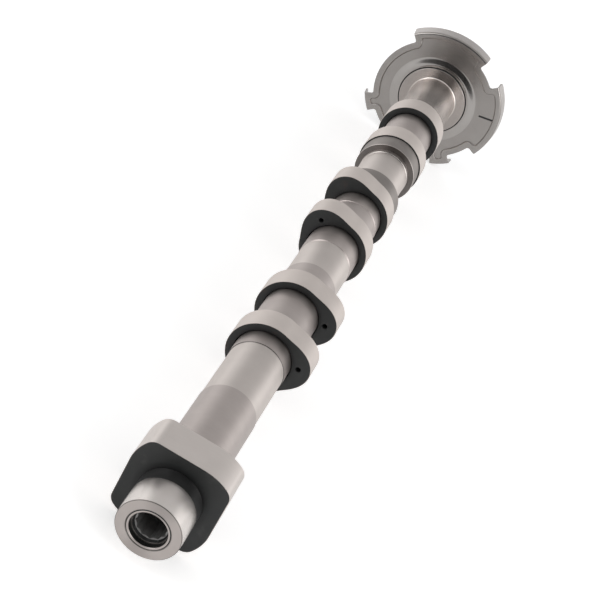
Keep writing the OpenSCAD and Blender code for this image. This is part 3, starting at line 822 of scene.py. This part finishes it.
# The raised land and its eased slope, from LAND_R to SLOPE_R; the panel is filled in between.
LAND_R, SLOPE_R, WHEEL_SIDES, SLOPE_STEPS = 21.2, 26.1, 160, 12
land_profile = [(SEAT_R, LAND_FRONT), (LAND_R, LAND_FRONT)]
for i in range(1, SLOPE_STEPS + 1):
    t = i / SLOPE_STEPS
    land_profile.append((LAND_R + (SLOPE_R - LAND_R) * t,
                         LAND_FRONT + (PANEL_FRONT - LAND_FRONT) * eased(t)))
start_clean()
bpy.ops.mesh.primitive_circle_add(vertices=WHEEL_SIDES, radius=SEAT_R * MM, location=(0, LAND_FRONT * MM, 0),
                                  rotation=(math.pi / 2, 0, 0))
land = bpy.context.object
bpy.ops.object.transform_apply()
edit_all()
extrude_along(land_profile)
start_clean()
land.select_set(True)
wheel.select_set(True)
bpy.context.view_layer.objects.active = wheel
bpy.ops.object.join()
bpy.ops.object.mode_set(mode="EDIT")
bpy.ops.mesh.select_all(action="DESELECT")
bpy.ops.mesh.select_mode(type="EDGE")
shape = bmesh.from_edit_mesh(wheel.data)
for edge in shape.edges:
    middle = (edge.verts[0].co + edge.verts[1].co) / 2 / MM
    edge.select = (edge.is_boundary and abs(middle.y - PANEL_FRONT) < 0.01
                   and SLOPE_R - 1 < radius(middle) < WHEEL_R - PANEL_INSET)
shape.select_flush_mode()
bmesh.update_edit_mesh(wheel.data)
bpy.ops.mesh.fill(use_beauty=True)
finish_edit()
# The open sheet has to face the front before it gets its thickness towards the rear.
facing = sum(face.normal.y * face.area for face in wheel.data.polygons if abs(face.normal.y) > SQUARE)
edit_all()
if facing > 0:
    bpy.ops.mesh.flip_normals()
leave_edit()
thinned = wheel.vertex_groups.new(name="wall_share")
for vertex in wheel.data.vertices:
    p = vertex.co / MM
    on_rim = min(max((radius(p) - FOLD_FACE_R) / FOLD_R, 0), 1)
    thinned.add([vertex.index], 1 - (1 - RIM_WALL / SHEET) * on_rim, "REPLACE")
sheet_wall = wheel.modifiers.new("sheet", "SOLIDIFY")
sheet_wall.thickness, sheet_wall.offset, sheet_wall.vertex_group = SHEET * MM, -1, thinned.name
sheet_wall.use_even_offset = True
bpy.ops.object.modifier_apply(modifier=sheet_wall.name)
edge_round = wheel.modifiers.new("sheared_edge", "BEVEL")
edge_round.width, edge_round.segments, edge_round.limit_method = SHEARED_EDGE * MM, 2, "ANGLE"
edge_round.angle_limit = math.radians(60)
bpy.ops.object.modifier_apply(modifier=edge_round.name)

# The timing line, cut into the panel.
MARK_START, MARK_LENGTH, MARK_WIDTH, MARK_TURN, MARK_DEPTH, NEAR = 28.8, 8.4, 1.15, -3.4, 0.15, 0.02
mark_angle = math.radians(REST_TURN + MARK_TURN)
wheel.data.transform(Matrix.Rotation(-math.radians(REST_TURN), 4, "Y"))
start_clean()
bpy.ops.mesh.primitive_cube_add(size=1, scale=(MARK_LENGTH * MM, 2 * MARK_DEPTH * MM, MARK_WIDTH * MM))
marker = bpy.context.object
bpy.ops.object.transform_apply()
marker.data.transform(Matrix.Rotation(-mark_angle, 4, "Y")
                      @ Matrix.Translation(Vector((MARK_START + MARK_LENGTH / 2, PANEL_FRONT, 0)) * MM))
cut_away(wheel, marker)

# Where the wheel's steels change: the foot of the pressed step in Y, and the land's radius.
STEP_FOOT, LAND_EDGE = -7.2, 25.7


def wheel_surface(p, n):
    along = p.x * math.cos(mark_angle) + p.z * math.sin(mark_angle)
    aside = p.z * math.cos(mark_angle) - p.x * math.sin(mark_angle)
    if (-NEAR < along - MARK_START < MARK_LENGTH + NEAR and abs(aside) < MARK_WIDTH / 2 + NEAR
            and PANEL_FRONT + 0.01 < p.y < PANEL_FRONT + MARK_DEPTH + NEAR):
        return 1
    if radius(p) > LAND_EDGE + 1 and STEP_FOOT < p.y < PANEL_FRONT - 0.01 and n.y < -SLOPED:
        return 2
    if radius(p) > WHEEL_R - 0.5 and n.x * p.x + n.z * p.z > 0.4 * radius(p):
        return 3
    return 4 if radius(p) < LAND_EDGE and p.y < PANEL_FRONT + 0.05 else 0


# Stamped sheet: rolled smooth with no marks, an even grey with a soft mirror of the room.
stamped_steel = steel("stamped_sheet_steel", ("#9f9b98", "#a6a29f"), (0.25, 0.27), 0.6, 0.0001, 8, "grain")
# The timing line's floor: burnt black by the marking tool.
mark_black = black_steel("engraved_mark_black", 3, "#262626")
# The foot of the pressed step: the same sheet, darker grey as painted shade in the corner.
step_foot_shade_steel = steel("painted_shade_step_foot_steel", ("#7a7572", "#86817d"), (0.35, 0.4), 0.35, 0.0004, 5, "grain")
# The folded rim: stretched over its bend and brushed along its edge, so paler than the panel.
rim_steel = steel("brushed_rim_steel", ("#bfbab7", "#c8c3c0"), (0.22, 0.26), 0.35, 0.0004, 7)
# The raised land and its slope: the same sheet, burnished smooth by the press tool.
land_steel = steel("burnished_land_steel", ("#aca8a5", "#b2aeab"), (0.17, 0.19), 0.6, 0.0001, 8, "grain")
dress(wheel, "sensor_wheel",
      [stamped_steel, mark_black, step_foot_shade_steel, rim_steel, land_steel], wheel_surface)

# --- Stage, light and camera --------------------------------------------------------------
# The part lies on a white table that touches the pump cam and the wheel. Two big soft lamps and
# a pale surround light it from the sides; the camera stands where the photograph's stood.

# The table's plane: its rise per length along Y and X, its height in mm, and its front edge and
# size in metres. It ends before the camera, so that it doesn't mirror in the faces.
TABLE_SLOPE, TABLE_SIDE, TABLE_Z, TABLE_FRONT, TABLE_SIZE = -0.034, 0.007, -35.66, -0.6, 8
start_clean()
bpy.ops.mesh.primitive_plane_add(size=TABLE_SIZE)
table = bpy.context.object
table.name = "table"
for vertex in table.data.vertices:
    vertex.co.y = max(vertex.co.y, TABLE_FRONT)
table.location = (0, 0, TABLE_Z * MM)
table.rotation_euler = (math.atan(TABLE_SLOPE), -math.atan(TABLE_SIDE), 0)
# White painted board: it glows a little to the camera, and by a share in reflections.
GLOW, MIRRORED_SHARE = 0.4, 0.45
white = new_material("white_table")
path = add_node(white, "LightPath")
seen = add_node(white, "Math", {"operation": "MULTIPLY_ADD", 1: MIRRORED_SHARE},
                {0: path.outputs["Is Glossy Ray"], 2: path.outputs["Is Camera Ray"]})
paint = add_node(white, "BsdfDiffuse", {"Color": linear("#f2f2f2")})
glow = add_node(white, "Emission", {"Color": linear("#ffffff"), "Strength": GLOW})
both = add_node(white, "AddShader", None, {0: paint, 1: glow})
mix = add_node(white, "MixShader", None, {"Fac": seen, 1: paint, 2: both})
add_node(white, "OutputMaterial", None, {"Surface": mix})
table.data.materials.append(white)

# The surround is a pale room. LEVELS is the light by height behind the part, which its cylinders
# reflect. PANELS is the light from left to right on the camera's side, which its faces reflect.
world = bpy.data.worlds.new("pale_surround")
bpy.context.scene.world = world
world.use_nodes = True
world.node_tree.nodes.clear()
way = add_node(world, "TexCoord").outputs["Generated"]
parts = add_node(world, "SeparateXYZ", None, {"Vector": way})
lean = add_node(world, "VectorMath", {"operation": "DOT_PRODUCT", 1: (-0.05, 0, 0.5)}, {0: way})
height = add_node(world, "Math", {"operation": "ADD", 1: 0.5}, {0: lean.outputs["Value"]})
LEVELS = [(-1, 0.9), (-0.42, 0.92), (-0.22, 0.81), (-0.02, 0.86), (0.13, 1.0), (0.28, 1.12),
          (0.44, 1.1), (0.53, 0.55), (0.64, 0.46), (0.8, 0.62)]
bands = add_node(world, "ValToRGB",
                 {"stops": [((z + 1) / 2, (level, level, level, 1)) for z, level in LEVELS]},
                 {"Fac": height})
right_side = add_node(world, "MapRange", {"From Min": -1, "To Min": 0.9, "To Max": 1.06},
                      {"Value": parts.outputs["X"]})
even = add_node(world, "Math", {"operation": "MULTIPLY"}, {0: bands, 1: right_side})
sideways = add_node(world, "MapRange", {"From Min": -1}, {"Value": parts.outputs["X"]})
PANELS = [(-0.82, 0.62), (-0.67, 0.38), (-0.58, 0.14), (-0.42, 0.05), (-0.16, 0.015), (0.33, 0.01),
          (0.45, 0.07), (0.57, 0.23), (0.69, 0.5), (0.86, 0.65)]
panels = add_node(world, "ValToRGB",
                  {"stops": [((x + 1) / 2, (level, level, level, 1)) for x, level in PANELS]},
                  {"Fac": sideways})
near, low, high = (
    add_node(world, "MapRange", {"interpolation_type": "SMOOTHSTEP", "From Min": start, "From Max": full},
             {"Value": parts.outputs[axis]})
    for axis, start, full in (("Y", -0.1, -0.4), ("Z", 0.76, 0.6), ("Z", 0.78, 0.88)))
over = add_node(world, "Math", {"operation": "MULTIPLY"}, {0: near, 1: high})
lid = add_node(world, "Mix", {"data_type": "FLOAT", 3: 1.0}, {0: over, 2: even})
in_front = add_node(world, "Math", {"operation": "MULTIPLY"}, {0: near, 1: low})
stronger = add_node(world, "MapRange",
                    {"From Min": 0.03, "From Max": 0.2, "To Min": 2.0, "To Max": 3.2},
                    {"Value": parts.outputs["Z"]})
raised = add_node(world, "Math", {"operation": "MULTIPLY"}, {0: panels, 1: stronger})
shade = add_node(world, "Mix", {"data_type": "FLOAT"}, {0: in_front, 2: lid, 3: raised})
world_path = add_node(world, "LightPath")
sky = add_node(world, "Background", {"Color": linear("#fdfdfd")}, {"Strength": shade})
clear = add_node(world, "Background", {"Color": linear("#ffffff"), "Strength": 1.0})
world_mix = add_node(world, "MixShader", None, {"Fac": world_path.outputs["Is Camera Ray"], 1: sky, 2: clear})
add_node(world, "OutputWorld", None, {"Surface": world_mix})

LAMP_SIZE, LAMP_WATTS, SHAFT_MIDDLE = 1.2, 5, Vector((0, -0.22, 0))
for name, at in (("left_softbox", (-1.3, -1.0, 1.0)), ("right_softbox", (1.3, -1.0, 1.0))):
    start_clean()
    bpy.ops.object.light_add(type="AREA", location=at)
    lamp = bpy.context.object
    lamp.name = name
    lamp.data.size = LAMP_SIZE
    lamp.data.energy = LAMP_WATTS
    lamp.rotation_euler = (SHAFT_MIDDLE - Vector(at)).to_track_quat("-Z", "Y").to_euler()

# The camera, as solved from the circles of the journals, lobes and wheel in the photograph.
PICTURE_PIXELS, FOCAL_PIXELS, SENSOR = 600, 1746.5, 36
camera_data = bpy.data.cameras.new("camera")
camera = bpy.data.objects.new("camera", camera_data)
bpy.context.scene.collection.objects.link(camera)
right = Vector((0.81361446, 0.3039876, 0.49560371))
up = Vector((-0.58087416, 0.46141996, 0.67057947))
turn = Matrix((right, up, right.cross(up))).transposed().to_4x4()
camera.matrix_world = Matrix.Translation(Vector((-19.958, -931.206, 444.550)) * MM) @ turn
camera_data.sensor_width = SENSOR
camera_data.lens = SENSOR * FOCAL_PIXELS / PICTURE_PIXELS
camera_data.clip_start, camera_data.clip_end = 0.05, 20
bpy.context.scene.camera = camera
bpy.context.scene.view_settings.view_transform = "Standard"
